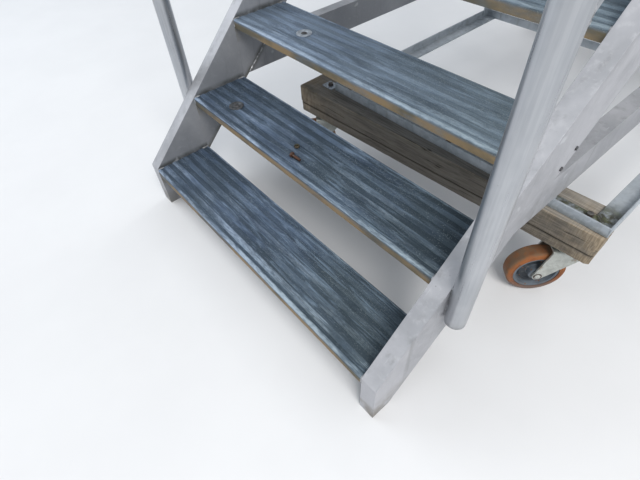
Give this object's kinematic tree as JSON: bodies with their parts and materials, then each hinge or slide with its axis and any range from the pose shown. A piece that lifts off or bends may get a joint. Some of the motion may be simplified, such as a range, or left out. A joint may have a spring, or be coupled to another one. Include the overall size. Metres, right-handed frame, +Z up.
{
  "type": "mobile aircraft stairs",
  "caption": "Wheeled aluminium boarding stairs: a ribbed-tread flight and railed platform on side rails, over timber bolsters and an angle frame with swivel casters.",
  "frame": {"origin": "middle of the machine's footprint, on the floor", "axes": "+X to the right for someone facing the flight, +Y up the flight towards the aircraft, +Z up"},
  "size_m": [1.2721, 2.46, 2.5852],
  "materials": {
    "tread_aluminium": "weathered ribbed extrusion, dirty in its grooves",
    "stringer_aluminium": "dull weathered mill finish",
    "rail_tube": "brushed tube with handling marks",
    "galvanised_steel": "dull hot-dip galvanising",
    "timber": "weathered sawn softwood",
    "zinc_steel": "bright zinc plate, scuffed",
    "orange_tyre": "worn polyurethane",
    "hub_iron": "dusty dark casting",
    "bumper_rubber": "matt black rubber"
  },
  "bodies": {
    "frame": {"stringer_left": "stringer_aluminium", "stringer_right": "stringer_aluminium", "tread_1": "tread_aluminium", "tread_2": "tread_aluminium", "tread_3": "tread_aluminium", "tread_4": "tread_aluminium", "tread_5": "tread_aluminium", "tread_6": "tread_aluminium", "tread_7": "tread_aluminium", "platform_deck": "tread_aluminium", "platform_frame": "stringer_aluminium", "bumper": "bumper_rubber", "handrail_left": "rail_tube", "handrail_right": "rail_tube", "guard_rail_left": "rail_tube", "guard_rail_right": "rail_tube", "side_rail_left": "stringer_aluminium", "side_rail_right": "stringer_aluminium", "leg_front_left": "stringer_aluminium", "leg_front_right": "stringer_aluminium", "leg_rear_left": "stringer_aluminium", "leg_rear_right": "stringer_aluminium", "brace_left": "stringer_aluminium", "brace_right": "stringer_aluminium", "cross_tubes": "stringer_aluminium", "angle_frame": "galvanised_steel", "bolster_front_upper": "timber", "bolster_front_lower": "timber", "bolster_rear_upper": "timber", "bolster_rear_lower": "timber", "caster_plates": "zinc_steel"},
    "caster_front_left": {"fork_front_left": "zinc_steel"},
    "wheel_front_left": {"tyre_front_left": "orange_tyre", "hub_front_left": "hub_iron"},
    "caster_front_right": {"fork_front_right": "zinc_steel"},
    "wheel_front_right": {"tyre_front_right": "orange_tyre", "hub_front_right": "hub_iron"},
    "caster_rear_left": {"fork_rear_left": "zinc_steel"},
    "wheel_rear_left": {"tyre_rear_left": "orange_tyre", "hub_rear_left": "hub_iron"},
    "caster_rear_right": {"fork_rear_right": "zinc_steel"},
    "wheel_rear_right": {"tyre_rear_right": "orange_tyre", "hub_rear_right": "hub_iron"}
  },
  "joints": [
    {"name": "swivel_front_left", "type": "hinge", "parent": "frame", "child": "caster_front_left", "pos_m": [-0.35165, -0.61824, 0.192], "axis": [0, 0, 1], "continuous": true},
    {"name": "spin_front_left", "type": "hinge", "parent": "caster_front_left", "child": "wheel_front_left", "pos_m": [-0.38575, -0.65481, 0.08], "axis": [0.7314, -0.682, 0], "continuous": true},
    {"name": "swivel_front_right", "type": "hinge", "parent": "frame", "child": "caster_front_right", "pos_m": [0.55926, -0.57369, 0.192], "axis": [0, 0, 1], "continuous": true},
    {"name": "spin_front_right", "type": "hinge", "parent": "caster_front_right", "child": "wheel_front_right", "pos_m": [0.52516, -0.61025, 0.08], "axis": [0.7314, -0.682, 0], "continuous": true},
    {"name": "swivel_rear_left", "type": "hinge", "parent": "frame", "child": "caster_rear_left", "pos_m": [-0.3499, 1.085, 0.192], "axis": [0, 0, 1], "continuous": true},
    {"name": "spin_rear_left", "type": "hinge", "parent": "caster_rear_left", "child": "wheel_rear_left", "pos_m": [-0.384, 1.04843, 0.08], "axis": [0.7314, -0.682, 0], "continuous": true},
    {"name": "swivel_rear_right", "type": "hinge", "parent": "frame", "child": "caster_rear_right", "pos_m": [0.5621, 1.085, 0.192], "axis": [0, 0, 1], "continuous": true},
    {"name": "spin_rear_right", "type": "hinge", "parent": "caster_rear_right", "child": "wheel_rear_right", "pos_m": [0.528, 1.04843, 0.08], "axis": [0.7314, -0.682, 0], "continuous": true}
  ]
}
